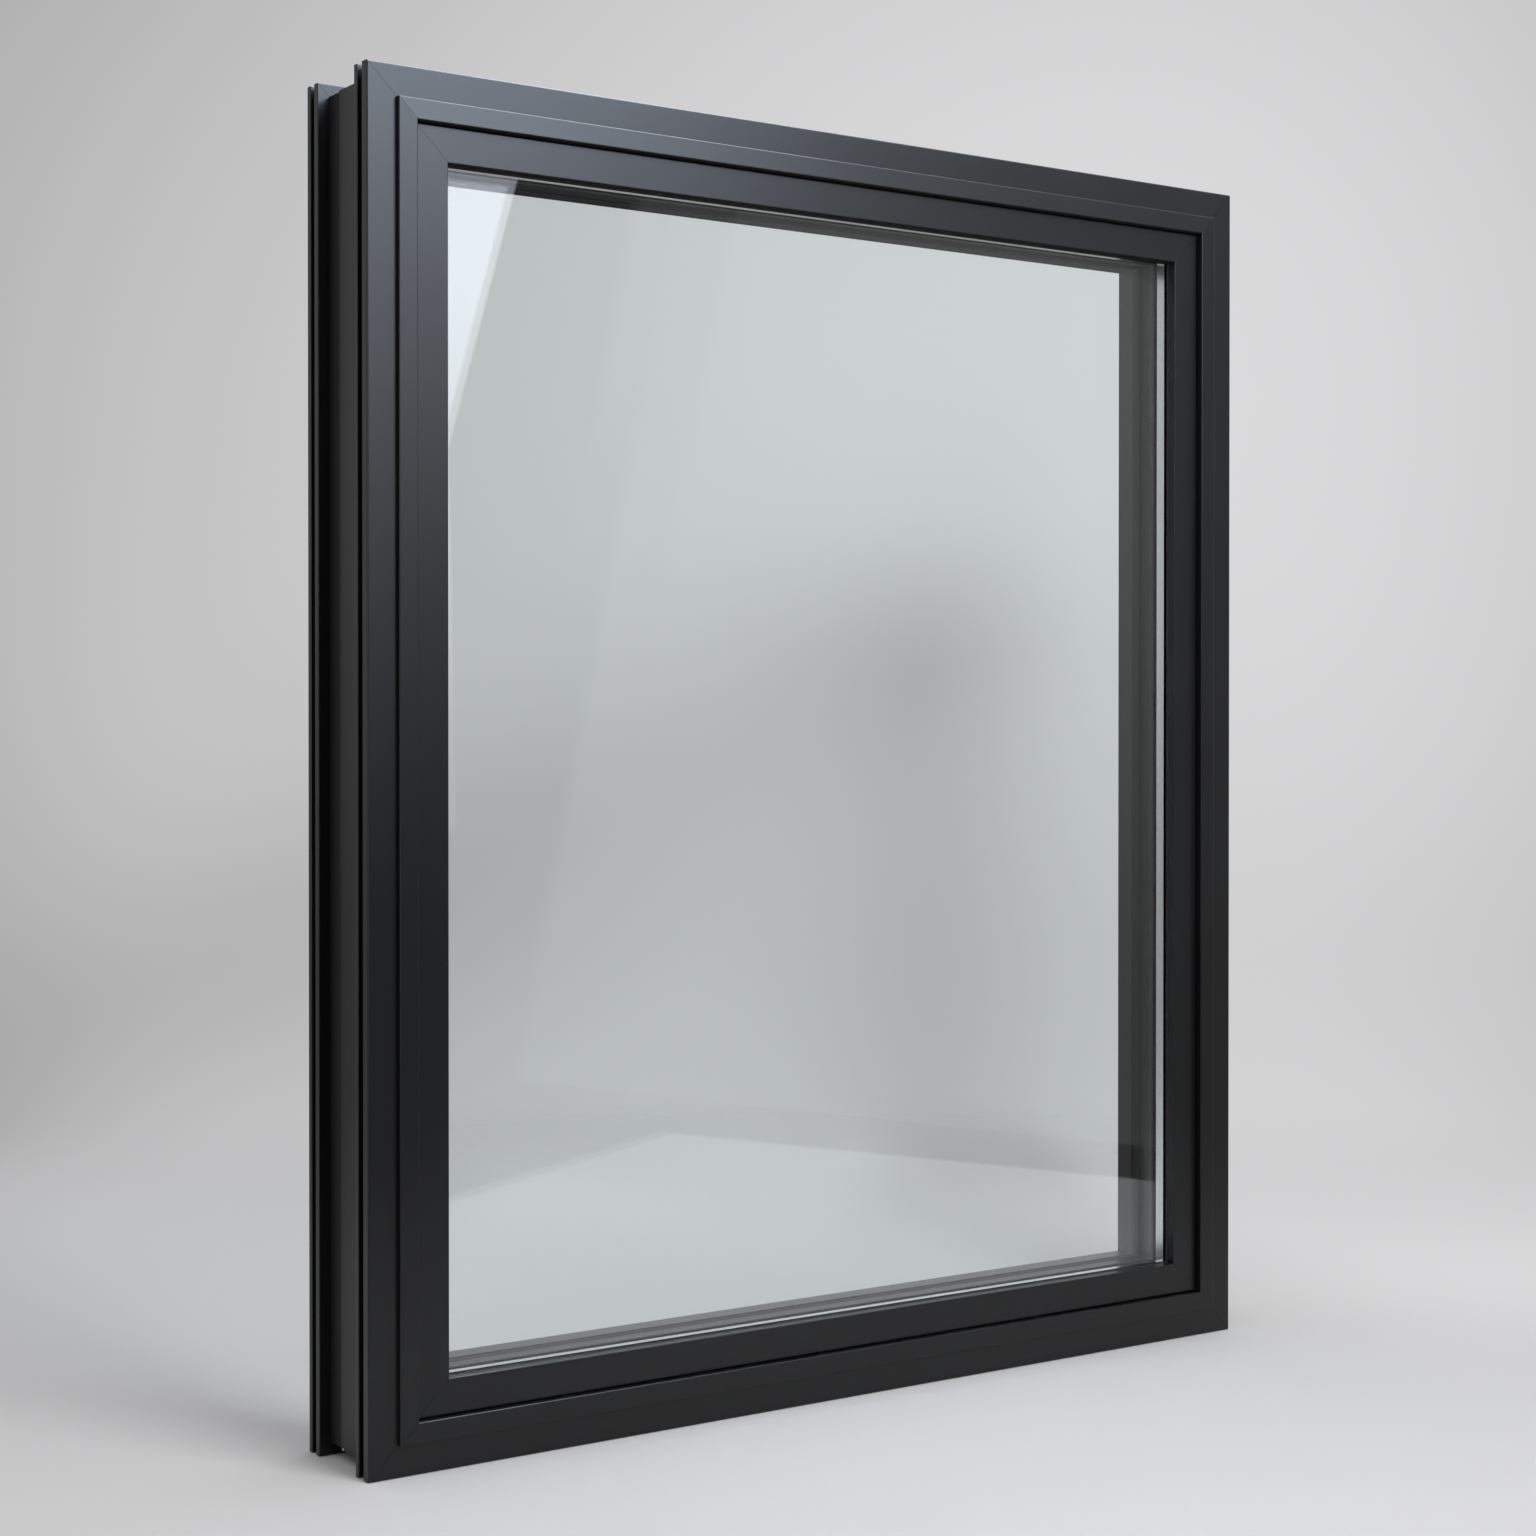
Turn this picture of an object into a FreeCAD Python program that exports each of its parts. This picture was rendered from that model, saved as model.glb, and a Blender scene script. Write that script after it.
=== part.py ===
import FreeCAD, Part
import math
import os

# Fixed picture window: a thermally broken aluminium frame, a fixed sash in it and a double-glazed unit.
# X runs across the width, Y from the front to the back, Z up, and the origin is under the middle.
# Each profile is drawn once as a section and run round the four sides with mitred corners.
# In a section u runs inwards from the outer edge, and y back from the front flange's face.
# All lengths are in millimetres.

# Overall size
WIDTH = 1000.0
HEIGHT = 1200.0

# Outer frame, inwards from the outer edge
CHANNEL_DEPTH = 10.0
SLOT_DEPTH = 7.0
FRAME_FACE = 35.5
STOP_LAP = 10.0
FRAME_WALL = 2.0

# Outer frame, from front to back
FRONT_PLATE = 10.0
FRONT_SLOT = 9.0
FRONT_LIP = 6.0
FRAME_BREAK = 23.0
REAR_LIP = 7.5
REAR_SLOT = 7.5
REAR_PLATE = 7.0

# Fixed sash, inwards from the frame's inner wall
BAND_LAP = 8.0
BAND_FACE = 18.0
BEAD_GROOVE = 1.5
BEAD_SEAT = 7.5
SASH_WALL = 2.0

# Fixed sash, from front to back
BAND_PROUD = 5.0
SASH_STOP = 14.0
SASH_BREAK = 15.0
SASH_REAR = 22.0
SASH_BACK_GAP = 3.5

# Thermal breaks: polyamide box strips, set back a little from the metal beside them
BREAK_WALL = 2.0
BREAK_SETBACK = 1.0

# Glazing bead and gaskets
BEAD_RECESS = 2.0
BEAD_DEPTH = 10.0
BEAD_WALL = 1.5
GASKET_BITE = 12.0
FRONT_GASKET = 2.5
REAR_GASKET = 5.0

# Double-glazed unit
PANE = 6.0
CAVITY = 12.0
GLASS_BITE = 18.0
GLASS_CLEARANCE = 5.0
SPACER_HEIGHT = 7.5
SPACER_WALL = 0.8
BLOCK_LENGTH = 100.0
BLOCK_INSET = 150.0

# Hairline left open between the mitred ends of the metal profiles
MITRE_GAP = 0.2

# Rounded edges
PLATE_ROUND = 1.5
LIP_ROUND = 0.8
BAND_ROUND = 1.0
BEAD_ROUND = 0.8

# Lines across the section, inwards from the outer edge
BAND_OUTER = FRAME_FACE - BAND_LAP
BAND_INNER = BAND_OUTER + BAND_FACE
BEAD_OUTER = BAND_INNER + BEAD_GROOVE
REBATE_FLOOR = BEAD_OUTER + BEAD_SEAT
GLASS_EDGE = REBATE_FLOOR + GLASS_CLEARANCE
SIGHTLINE = GLASS_EDGE + GLASS_BITE
REAR_FLANGE = FRAME_FACE + STOP_LAP

# Lines through the depth, back from the front flange's face
BEAD_BACK = BEAD_RECESS + BEAD_DEPTH
FRONT_PANE = BEAD_BACK + FRONT_GASKET
CAVITY_FRONT = FRONT_PANE + PANE
REAR_PANE = CAVITY_FRONT + CAVITY
UNIT_BACK = REAR_PANE + PANE
STOP_FRONT = UNIT_BACK + REAR_GASKET
STOP_BACK = STOP_FRONT + SASH_STOP
SASH_REAR_FRONT = STOP_BACK + SASH_BREAK
SASH_BACK = SASH_REAR_FRONT + SASH_REAR
REAR_FRONT = SASH_BACK + SASH_BACK_GAP
FRONT_BACK = REAR_FRONT - FRAME_BREAK
FRONT_SLOT_BACK = FRONT_PLATE + FRONT_SLOT
FRONT_LIP_BACK = FRONT_SLOT_BACK + FRONT_LIP
REAR_LIP_BACK = REAR_FRONT + REAR_LIP
REAR_SLOT_BACK = REAR_LIP_BACK + REAR_SLOT
FRAME_BACK = REAR_SLOT_BACK + REAR_PLATE

# The origin lies under the middle of the whole depth, from the raised band to the rear plate
MIDDLE = (FRAME_BACK - BAND_PROUD) / 2

# The mitre cutter reaches just past the section on every side
CUTTER_MARGIN = 1.0

LEFT = FreeCAD.Vector(-WIDTH / 2, 0, 0)
RIGHT = FreeCAD.Vector(WIDTH / 2, 0, 0)
TOP_LEFT = FreeCAD.Vector(-WIDTH / 2, 0, HEIGHT)
ACROSS = FreeCAD.Vector(1, 0, 0)
BACK = FreeCAD.Vector(0, 1, 0)
UP = FreeCAD.Vector(0, 0, 1)

# Each side: its starting corner, its direction, the way inwards and its length
SIDES = {
    "head": (TOP_LEFT, ACROSS, -UP, WIDTH),
    "sill": (LEFT, ACROSS, UP, WIDTH),
    "left_jamb": (LEFT, UP, ACROSS, HEIGHT),
    "right_jamb": (RIGHT, UP, -ACROSS, HEIGHT),
}


def box_outline(u_low, u_high, y_low, y_high, rounds=(0, 0, 0, 0)):
    """Corners (u, y, radius) of a rectangle: front outer, front inner, back inner, back outer."""
    corners = ((u_low, y_low), (u_high, y_low), (u_high, y_high), (u_low, y_high))
    return [(u, y, radius) for (u, y), radius in zip(corners, rounds)]


def tube_section(u_low, u_high, y_low, y_high, wall, rounds=(0, 0, 0, 0)):
    """A rectangular tube: its outline and the chamber inside its wall."""
    outline = box_outline(u_low, u_high, y_low, y_high, rounds)
    chamber = box_outline(u_low + wall, u_high - wall, y_low + wall, y_high - wall)
    return [outline, chamber]


def frame_front_section():
    """Front half of the frame: flange plate, accessory slot, lip and the floor of the fixing channel."""
    outline = [
        (0, 0, PLATE_ROUND),
        (FRAME_FACE, 0, 0),
        (FRAME_FACE, FRONT_BACK, 0),
        (CHANNEL_DEPTH, FRONT_BACK, 0),
        (CHANNEL_DEPTH, FRONT_LIP_BACK, 0),
        (0, FRONT_LIP_BACK, LIP_ROUND),
        (0, FRONT_SLOT_BACK, LIP_ROUND),
        (SLOT_DEPTH, FRONT_SLOT_BACK, 0),
        (SLOT_DEPTH, FRONT_PLATE, 0),
        (0, FRONT_PLATE, LIP_ROUND),
    ]
    floor_inside = CHANNEL_DEPTH + FRAME_WALL
    chamber = [
        (FRAME_WALL, FRAME_WALL, 0),
        (FRAME_FACE - FRAME_WALL, FRAME_WALL, 0),
        (FRAME_FACE - FRAME_WALL, FRONT_BACK - FRAME_WALL, 0),
        (floor_inside, FRONT_BACK - FRAME_WALL, 0),
        (floor_inside, FRONT_PLATE - FRAME_WALL, 0),
        (FRAME_WALL, FRONT_PLATE - FRAME_WALL, 0),
    ]
    return [outline, chamber]


def frame_rear_section():
    """Rear half of the frame: lip, accessory slot, plate, and the foot that the sash's back rests on."""
    outline = [
        (0, REAR_FRONT, LIP_ROUND),
        (0, REAR_LIP_BACK, LIP_ROUND),
        (SLOT_DEPTH, REAR_LIP_BACK, 0),
        (SLOT_DEPTH, REAR_SLOT_BACK, 0),
        (0, REAR_SLOT_BACK, LIP_ROUND),
        (0, FRAME_BACK, PLATE_ROUND),
        (REAR_FLANGE, FRAME_BACK, PLATE_ROUND),
        (REAR_FLANGE, SASH_BACK, LIP_ROUND),
        (FRAME_FACE, SASH_BACK, 0),
        (FRAME_FACE, REAR_FRONT, 0),
    ]
    chamber = box_outline(
        CHANNEL_DEPTH + FRAME_WALL,
        REAR_FLANGE - FRAME_WALL,
        REAR_FRONT + FRAME_WALL,
        FRAME_BACK - FRAME_WALL,
    )
    return [outline, chamber]


def frame_break_section():
    """Box strip that joins the frame's two halves and closes the back of the fixing channel."""
    u_low = CHANNEL_DEPTH + BREAK_SETBACK
    u_high = FRAME_FACE - BREAK_SETBACK
    return tube_section(u_low, u_high, FRONT_BACK, REAR_FRONT, BREAK_WALL)


def sash_front_section():
    """Front half of the sash: raised band, bead seat, rebate floor and the glass stop behind it."""
    outline = [
        (BAND_OUTER, -BAND_PROUD, BAND_ROUND),
        (BAND_INNER, -BAND_PROUD, BAND_ROUND),
        (BAND_INNER, BEAD_BACK, 0),
        (REBATE_FLOOR, BEAD_BACK, 0),
        (REBATE_FLOOR, STOP_FRONT, 0),
        (SIGHTLINE, STOP_FRONT, 0),
        (SIGHTLINE, STOP_BACK, 0),
        (FRAME_FACE, STOP_BACK, 0),
        (FRAME_FACE, 0, 0),
        (BAND_OUTER, 0, 0),
    ]
    chamber = [
        (FRAME_FACE + SASH_WALL, -BAND_PROUD + SASH_WALL, 0),
        (BAND_INNER - SASH_WALL, -BAND_PROUD + SASH_WALL, 0),
        (BAND_INNER - SASH_WALL, BEAD_BACK + SASH_WALL, 0),
        (REBATE_FLOOR - SASH_WALL, BEAD_BACK + SASH_WALL, 0),
        (REBATE_FLOOR - SASH_WALL, STOP_FRONT + SASH_WALL, 0),
        (SIGHTLINE - SASH_WALL, STOP_FRONT + SASH_WALL, 0),
        (SIGHTLINE - SASH_WALL, STOP_BACK - SASH_WALL, 0),
        (FRAME_FACE + SASH_WALL, STOP_BACK - SASH_WALL, 0),
    ]
    return [outline, chamber]


def sash_break_section():
    """Box strip between the sash's two halves, seen in the reveal behind the glass."""
    u_low = FRAME_FACE + BREAK_SETBACK
    u_high = SIGHTLINE - BREAK_SETBACK
    return tube_section(u_low, u_high, STOP_BACK, SASH_REAR_FRONT, BREAK_WALL)


def sash_rear_section():
    """Rear half of the sash, with its rounded edge at the back of the reveal."""
    rounds = (0, 0, BAND_ROUND, 0)
    return tube_section(FRAME_FACE, SIGHTLINE, SASH_REAR_FRONT, SASH_BACK, SASH_WALL, rounds)


def bead_section():
    """Clip-in glazing bead, seated on the sash in front of the glass."""
    rounds = (BEAD_ROUND, BEAD_ROUND, 0, 0)
    return tube_section(BEAD_OUTER, SIGHTLINE, BEAD_RECESS, BEAD_BACK, BEAD_WALL, rounds)


def front_gasket_section():
    """Rubber strip between the bead and the front pane."""
    return [box_outline(SIGHTLINE - GASKET_BITE, SIGHTLINE, BEAD_BACK, FRONT_PANE)]


def rear_gasket_section():
    """Rubber strip between the rear pane and the sash's stop."""
    return [box_outline(SIGHTLINE - GASKET_BITE, SIGHTLINE, UNIT_BACK, STOP_FRONT)]


def spacer_section():
    """Hollow aluminium spacer bar between the panes."""
    return tube_section(SIGHTLINE - SPACER_HEIGHT, SIGHTLINE, CAVITY_FRONT, REAR_PANE, SPACER_WALL)


# Profiles by name, each with the hairline at its mitres
PROFILES = {
    "frame_front": (frame_front_section, MITRE_GAP),
    "frame_thermal_break": (frame_break_section, 0),
    "frame_rear": (frame_rear_section, MITRE_GAP),
    "sash_front": (sash_front_section, MITRE_GAP),
    "sash_thermal_break": (sash_break_section, 0),
    "sash_rear": (sash_rear_section, MITRE_GAP),
    "glazing_bead": (bead_section, MITRE_GAP),
    "front_gasket": (front_gasket_section, 0),
    "rear_gasket": (rear_gasket_section, 0),
    "glass_spacer": (spacer_section, 0),
}


def section_wire(points, place):
    """Closed wire through (u, y, radius) corners, each rounded by its radius and then put in place."""
    corners = [FreeCAD.Vector(u, y, 0) for u, y, radius in points]
    count = len(corners)
    stops = []
    for index, (u, y, radius) in enumerate(points):
        corner = corners[index]
        if radius == 0:
            stops.append((corner, None, corner))
            continue
        to_last = (corners[index - 1] - corner).normalize()
        to_next = (corners[(index + 1) % count] - corner).normalize()
        half_angle = to_last.getAngle(to_next) / 2
        tangent = radius / math.tan(half_angle)
        inward = (to_last + to_next).normalize()
        middle = corner + inward * (radius / math.sin(half_angle) - radius)
        stops.append((corner + to_last * tangent, middle, corner + to_next * tangent))
    edges = []
    for index, (start, middle, end) in enumerate(stops):
        last_end = stops[index - 1][2]
        edges.append(Part.LineSegment(place(last_end), place(start)).toShape())
        if middle is not None:
            edges.append(Part.Arc(place(start), place(middle), place(end)).toShape())
    return Part.Wire(edges)


def mitre_cutter(side, gap):
    """Wedge-ended block that trims a bar on this side to its two 45 degree mitres, half a gap short."""
    corner, along, inward, length = SIDES[side]
    reach = SIGHTLINE + CUTTER_MARGIN
    short = gap / math.sqrt(2)
    front = corner + BACK * (-BAND_PROUD - CUTTER_MARGIN - MIDDLE)
    outline = [
        front + along * short,
        front + along * (length - short),
        front + along * (length - short - reach) + inward * reach,
        front + along * (short + reach) + inward * reach,
    ]
    depth = FRAME_BACK + BAND_PROUD + 2 * CUTTER_MARGIN
    return Part.Face(Part.makePolygon(outline + outline[:1])).extrude(BACK * depth)


def mitred_bar(side, section, gap):
    """One profile along one side of the window, from mitre to mitre."""
    corner, along, inward, length = SIDES[side]

    def place(point):
        return corner + inward * point.x + BACK * (point.y - MIDDLE)

    wires = [section_wire(points, place) for points in section]
    bar = Part.makeFace(wires, "Part::FaceMakerBullseye").extrude(along * length)
    return bar.common(mitre_cutter(side, gap)).Solids[0]


def sheet(inset, y_low, thickness):
    """Upright rectangular sheet, set in from the window's outer edge by the same inset all round."""
    corner = FreeCAD.Vector(inset - WIDTH / 2, y_low - MIDDLE, inset)
    return Part.makeBox(WIDTH - 2 * inset, thickness, HEIGHT - 2 * inset, corner)


def edge_seal():
    """Sealant round the unit's edge, between the panes and outside the spacer."""
    inside = sheet(SIGHTLINE - SPACER_HEIGHT, CAVITY_FRONT, CAVITY)
    return sheet(GLASS_EDGE, CAVITY_FRONT, CAVITY).cut(inside).Solids[0]


def setting_block(middle):
    """Block under the glass unit, on the floor of the sill's rebate."""
    corner = FreeCAD.Vector(middle - BLOCK_LENGTH / 2, FRONT_PANE - MIDDLE, REBATE_FLOOR)
    return Part.makeBox(BLOCK_LENGTH, UNIT_BACK - FRONT_PANE, GLASS_CLEARANCE, corner)


def build():
    """All pieces of the window by node name."""
    nodes = {}
    for profile, (section, gap) in PROFILES.items():
        for side in SIDES:
            nodes[f"{side}_{profile}"] = mitred_bar(side, section(), gap)
    nodes["front_pane"] = sheet(GLASS_EDGE, FRONT_PANE, PANE)
    nodes["rear_pane"] = sheet(GLASS_EDGE, REAR_PANE, PANE)
    nodes["edge_seal"] = edge_seal()
    block_offset = WIDTH / 2 - GLASS_EDGE - BLOCK_INSET
    nodes["left_setting_block"] = setting_block(-block_offset)
    nodes["right_setting_block"] = setting_block(block_offset)
    return nodes


os.makedirs("parts", exist_ok=True)
for node, shape in build().items():
    shape.exportStep(f"parts/{node}.step")
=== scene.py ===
"""Fixed picture window: finishes, small fittings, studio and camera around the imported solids."""

import logging
import math
from collections.abc import Mapping, Sequence
from dataclasses import dataclass
from enum import Enum
from typing import Any

import bpy
import numpy as np
from mathutils import Matrix, Vector


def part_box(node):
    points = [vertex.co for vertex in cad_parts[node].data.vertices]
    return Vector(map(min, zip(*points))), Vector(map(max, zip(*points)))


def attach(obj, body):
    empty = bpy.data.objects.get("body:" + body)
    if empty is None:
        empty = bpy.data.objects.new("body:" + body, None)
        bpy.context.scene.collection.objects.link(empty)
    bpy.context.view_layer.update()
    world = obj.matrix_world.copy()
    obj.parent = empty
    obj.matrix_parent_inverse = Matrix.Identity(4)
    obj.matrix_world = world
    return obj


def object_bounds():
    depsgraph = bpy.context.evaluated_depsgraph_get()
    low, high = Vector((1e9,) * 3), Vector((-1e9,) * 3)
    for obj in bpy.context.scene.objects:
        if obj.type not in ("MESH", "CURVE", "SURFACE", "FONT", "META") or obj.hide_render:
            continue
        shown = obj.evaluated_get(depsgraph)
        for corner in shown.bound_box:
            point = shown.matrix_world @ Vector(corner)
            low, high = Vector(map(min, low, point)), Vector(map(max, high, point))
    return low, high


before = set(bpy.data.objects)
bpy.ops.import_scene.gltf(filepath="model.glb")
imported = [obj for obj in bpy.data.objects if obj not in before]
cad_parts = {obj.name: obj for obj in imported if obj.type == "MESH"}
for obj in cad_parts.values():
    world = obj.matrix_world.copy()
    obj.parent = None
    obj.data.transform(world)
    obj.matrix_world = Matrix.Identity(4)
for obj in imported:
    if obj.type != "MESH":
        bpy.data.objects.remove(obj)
cad_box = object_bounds()

log = logging.getLogger("picture_window")

Colour = tuple[float, float, float]
Point = tuple[float, float, float]
Span = tuple[float, float]
MM = 0.001
NOISE_MIDDLE = 0.5


class Side(Enum):
    """The four sides that every profile runs along."""

    HEAD = "head"
    SILL = "sill"
    LEFT = "left_jamb"
    RIGHT = "right_jamb"


class Value:
    """One output of a shader node. Its operators add Math nodes."""

    def __init__(self, graph: "Graph", socket: bpy.types.NodeSocket) -> None:
        """Keeps the graph that owns the node, and the output socket."""
        self.graph = graph
        self.socket = socket

    def out(self, name: str) -> "Value":
        """Another output of the same node."""
        return Value(self.graph, self.socket.node.outputs[name])

    def _math(self, operation: str, *terms: "Value | float") -> "Value":
        """A Math node with these terms."""
        return self.graph.node("ShaderNodeMath", {"operation": operation}, dict(enumerate(terms)))

    def __add__(self, other: "Value | float") -> "Value":
        """The sum of the two."""
        return self._math("ADD", self, other)

    def __radd__(self, other: float) -> "Value":
        """The sum of the two."""
        return self._math("ADD", other, self)

    def __sub__(self, other: "Value | float") -> "Value":
        """This value less the other."""
        return self._math("SUBTRACT", self, other)

    def __rsub__(self, other: float) -> "Value":
        """The other less this value."""
        return self._math("SUBTRACT", other, self)

    def __mul__(self, other: "Value | float") -> "Value":
        """The product of the two."""
        return self._math("MULTIPLY", self, other)

    def __rmul__(self, other: float) -> "Value":
        """The product of the two."""
        return self._math("MULTIPLY", other, self)

    def __truediv__(self, other: "Value | float") -> "Value":
        """This value over the other."""
        return self._math("DIVIDE", self, other)

    def __rtruediv__(self, other: float) -> "Value":
        """The other over this value."""
        return self._math("DIVIDE", other, self)

    def least(self, other: "Value | float") -> "Value":
        """The smaller of the two."""
        return self._math("MINIMUM", self, other)

    def most(self, other: "Value | float") -> "Value":
        """The larger of the two."""
        return self._math("MAXIMUM", self, other)

    def wave(self, period: float) -> "Value":
        """A zigzag from 0 to 1 and back, once in each period."""
        return self._math("PINGPONG", self, period / 2) / (period / 2)

    def hump(self, width: float) -> "Value":
        """A soft hump: 1 at zero and a quarter at this width to either side."""
        share = self / width
        spread = share * share + 1.0
        return 1.0 / (spread * spread)

    def step(self, low: float, high: float) -> "Value":
        """A smooth rise from 0 at low to 1 at high.

        Args:
            low: the value at which the rise starts.
            high: the value at which it ends.

        Returns:
            The rise, from 0 to 1.
        """
        settings = {"interpolation_type": "SMOOTHSTEP"}
        inputs = {"Value": self, "From Min": low, "From Max": high}
        return self.graph.node("ShaderNodeMapRange", settings, inputs)

    def band(self, rise: Span, fall: Span) -> "Value":
        """A smooth rise over the first span and a smooth fall over the second."""
        return self.step(*rise) * (1.0 - self.step(*fall))


class Graph:
    """The node tree of a material or of the world.

    A Mix node has sockets of one name for each kind of value, so those for colours are known by place.
    """

    MIX_FIRST = 6
    MIX_SECOND = 7
    MIX_RESULT = 2

    def __init__(self, owner: bpy.types.Material | bpy.types.World) -> None:
        """Clears the owner's tree and gives it one output."""
        owner.use_nodes = True
        self.owner = owner
        self.tree = owner.node_tree
        self.tree.nodes.clear()
        is_world = isinstance(owner, bpy.types.World)
        self.end = self.tree.nodes.new("ShaderNodeOutputWorld" if is_world else "ShaderNodeOutputMaterial")

    def node(
        self,
        kind: str,
        settings: Mapping[str, Any] | None = None,
        inputs: Mapping[int | str, Any] | None = None,
        output: int | str = 0,
    ) -> Value:
        """Makes any node.

        Args:
            kind: the node's type.
            settings: its own settings, set first.
            inputs: numbers, colours or other values for its sockets, by name or by place.
            output: the output that is handed back.

        Returns:
            That output.
        """
        made = self.tree.nodes.new(kind)
        for name, setting in (settings or {}).items():
            setattr(made, name, setting)
        for place, given in (inputs or {}).items():
            if isinstance(given, Value):
                self.tree.links.new(given.socket, made.inputs[place])
            else:
                made.inputs[place].default_value = given
        return Value(self, made.outputs[output])

    def surface(self, shader: Value) -> None:
        """Ends the tree with this shader."""
        self.tree.links.new(shader.socket, self.end.inputs["Surface"])

    def place(self) -> Value:
        """The point on the piece, in metres."""
        return self.node("ShaderNodeTexCoord", output="Object")

    def axes(self, vector: Value) -> tuple[Value, Value, Value]:
        """The three parts of a vector."""
        parts = self.node("ShaderNodeSeparateXYZ", inputs={0: vector})
        return parts.out("X"), parts.out("Y"), parts.out("Z")

    def mirrored(self) -> Value:
        """1 for a ray that something has mirrored, 0 for any other."""
        return self.node("ShaderNodeLightPath", output="Glossy Depth").least(1.0)

    def noise(self, place: Value, size: float, detail: float = 2.0) -> Value:
        """Soft noise from 0 to 1.

        Args:
            place: where it is read.
            size: about how wide one blot is, in metres.
            detail: how many finer layers it has.

        Returns:
            The noise.
        """
        inputs = {"Vector": place, "Scale": 1 / size, "Detail": detail}
        return self.node("ShaderNodeTexNoise", inputs=inputs)

    def mix(self, share: Value, first: Colour, second: Colour) -> Value:
        """A colour between two others.

        Args:
            share: 0 for the first colour, 1 for the second.
            first: the colour at 0.
            second: the colour at 1.

        Returns:
            The mixed colour.
        """
        inputs = {0: share, self.MIX_FIRST: (*first, 1.0), self.MIX_SECOND: (*second, 1.0)}
        return self.node("ShaderNodeMix", {"data_type": "RGBA"}, inputs, self.MIX_RESULT)

    def blend(self, share: Value, first: Value, second: Value) -> Value:
        """A shader between two others: the first where the share is 0, the second where it is 1."""
        return self.node("ShaderNodeMixShader", inputs={0: share, 1: first, 2: second})

    def bump(self, height: Value, distance: float) -> Value:
        """A normal from a height.

        Args:
            height: the height, about 0 to 1.
            distance: what 1 stands for, in metres.

        Returns:
            The normal.
        """
        inputs = {"Strength": 1.0, "Distance": distance, "Height": height}
        return self.node("ShaderNodeBump", inputs=inputs)

    def principled(self, **sockets: Any) -> Value:
        """A Principled shader; a socket's name is written with _ for each space."""
        inputs = {name.replace("_", " "): given for name, given in sockets.items()}
        return self.node("ShaderNodeBsdfPrincipled", inputs=inputs)


def grey(level: float) -> Colour:
    """A colour with all three parts at one level."""
    return (level, level, level)


@dataclass(frozen=True)
class Finish:
    """What every finish has: a name and a colour."""

    name: str
    colour: Colour

    def graph(self) -> Graph:
        """The empty graph of a new material with this finish's name."""
        return Graph(bpy.data.materials.new(self.name))

    def shade(self, share: float) -> Colour:
        """The finish's colour, made lighter or darker by a share of itself."""
        return tuple(part * share for part in self.colour)


@dataclass(frozen=True)
class PowderCoat(Finish):
    """Satin powder coat: a fine grain, the slow waves of a baked film and faint clouds in its gloss.

    Undersides, which the spray reaches least, are dry and rough. A lean, in radians, tips the film's
    shading on a piece that isn't quite upright.
    """

    roughness: float
    dry_roughness: float = 0.9
    underside: Span = (0.6, 0.9)
    grain: float = 0.45 * MM
    grain_height: float = 0.008 * MM
    grain_gloss: float = 0.08
    swell: float = 4.0 * MM
    swell_height: float = 0.010 * MM
    cloud: float = 180.0 * MM
    cloud_gloss: float = 0.10
    cloud_share: float = 0.6
    darkest: float = 0.82
    lightest: float = 1.18
    lean: float = 0.0
    ior: float = 1.45
    specular: float = 0.5

    def material(self) -> bpy.types.Material:
        """The coat as a material.

        Returns:
            A Principled material whose colour, roughness and normal vary over the metal.
        """
        graph = self.graph()
        place = graph.place()
        grain = graph.noise(place, self.grain)
        swell = graph.noise(place, self.swell, detail=1.0)
        cloud = graph.noise(place, self.cloud, detail=3.0)
        tone = cloud * self.cloud_share + grain * (1.0 - self.cloud_share)
        _, _, rise = graph.axes(place)
        film = grain * (self.grain_height / self.swell_height) + swell
        height = film - rise * (self.lean / self.swell_height)
        clouds = (cloud - NOISE_MIDDLE) * self.cloud_gloss
        grains = (grain - NOISE_MIDDLE) * self.grain_gloss
        _, _, facing = graph.axes(graph.node("ShaderNodeNewGeometry", output="Normal"))
        dry = (facing * -1.0).step(*self.underside) * (self.dry_roughness - self.roughness)
        graph.surface(
            graph.principled(
                Base_Color=graph.mix(tone, self.shade(self.darkest), self.shade(self.lightest)),
                Roughness=clouds + grains + self.roughness + dry,
                IOR=self.ior,
                Specular_IOR_Level=self.specular,
                Normal=graph.bump(height, self.swell_height),
            )
        )
        return graph.owner


@dataclass(frozen=True)
class Polyamide(Finish):
    """Glass-filled polyamide: drawn lines along the strip and short pale fibres in a matt black."""

    roughness: float
    fibre: float = 0.8 * MM
    fibre_gloss: float = 0.15
    speck: Span = (0.62, 0.74)
    line: float = 1.1 * MM
    line_share: float = 0.6
    relief: float = 0.02 * MM
    darkest: float = 0.9
    lightest: float = 1.9
    specular: float = 0.3

    def material(self) -> bpy.types.Material:
        """The strip's plastic as a material.

        Returns:
            A Principled material with fibre specks and drawn lines.
        """
        graph = self.graph()
        place = graph.place()
        fibre = graph.noise(place, self.fibre, detail=3.0)
        specks = fibre.step(*self.speck)
        _, depth, _ = graph.axes(place)
        height = depth.wave(self.line) * self.line_share + fibre * (1.0 - self.line_share)
        graph.surface(
            graph.principled(
                Base_Color=graph.mix(specks, self.shade(self.darkest), self.shade(self.lightest)),
                Roughness=(fibre - NOISE_MIDDLE) * self.fibre_gloss + self.roughness,
                Specular_IOR_Level=self.specular,
                Normal=graph.bump(height, self.relief),
            )
        )
        return graph.owner


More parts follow.
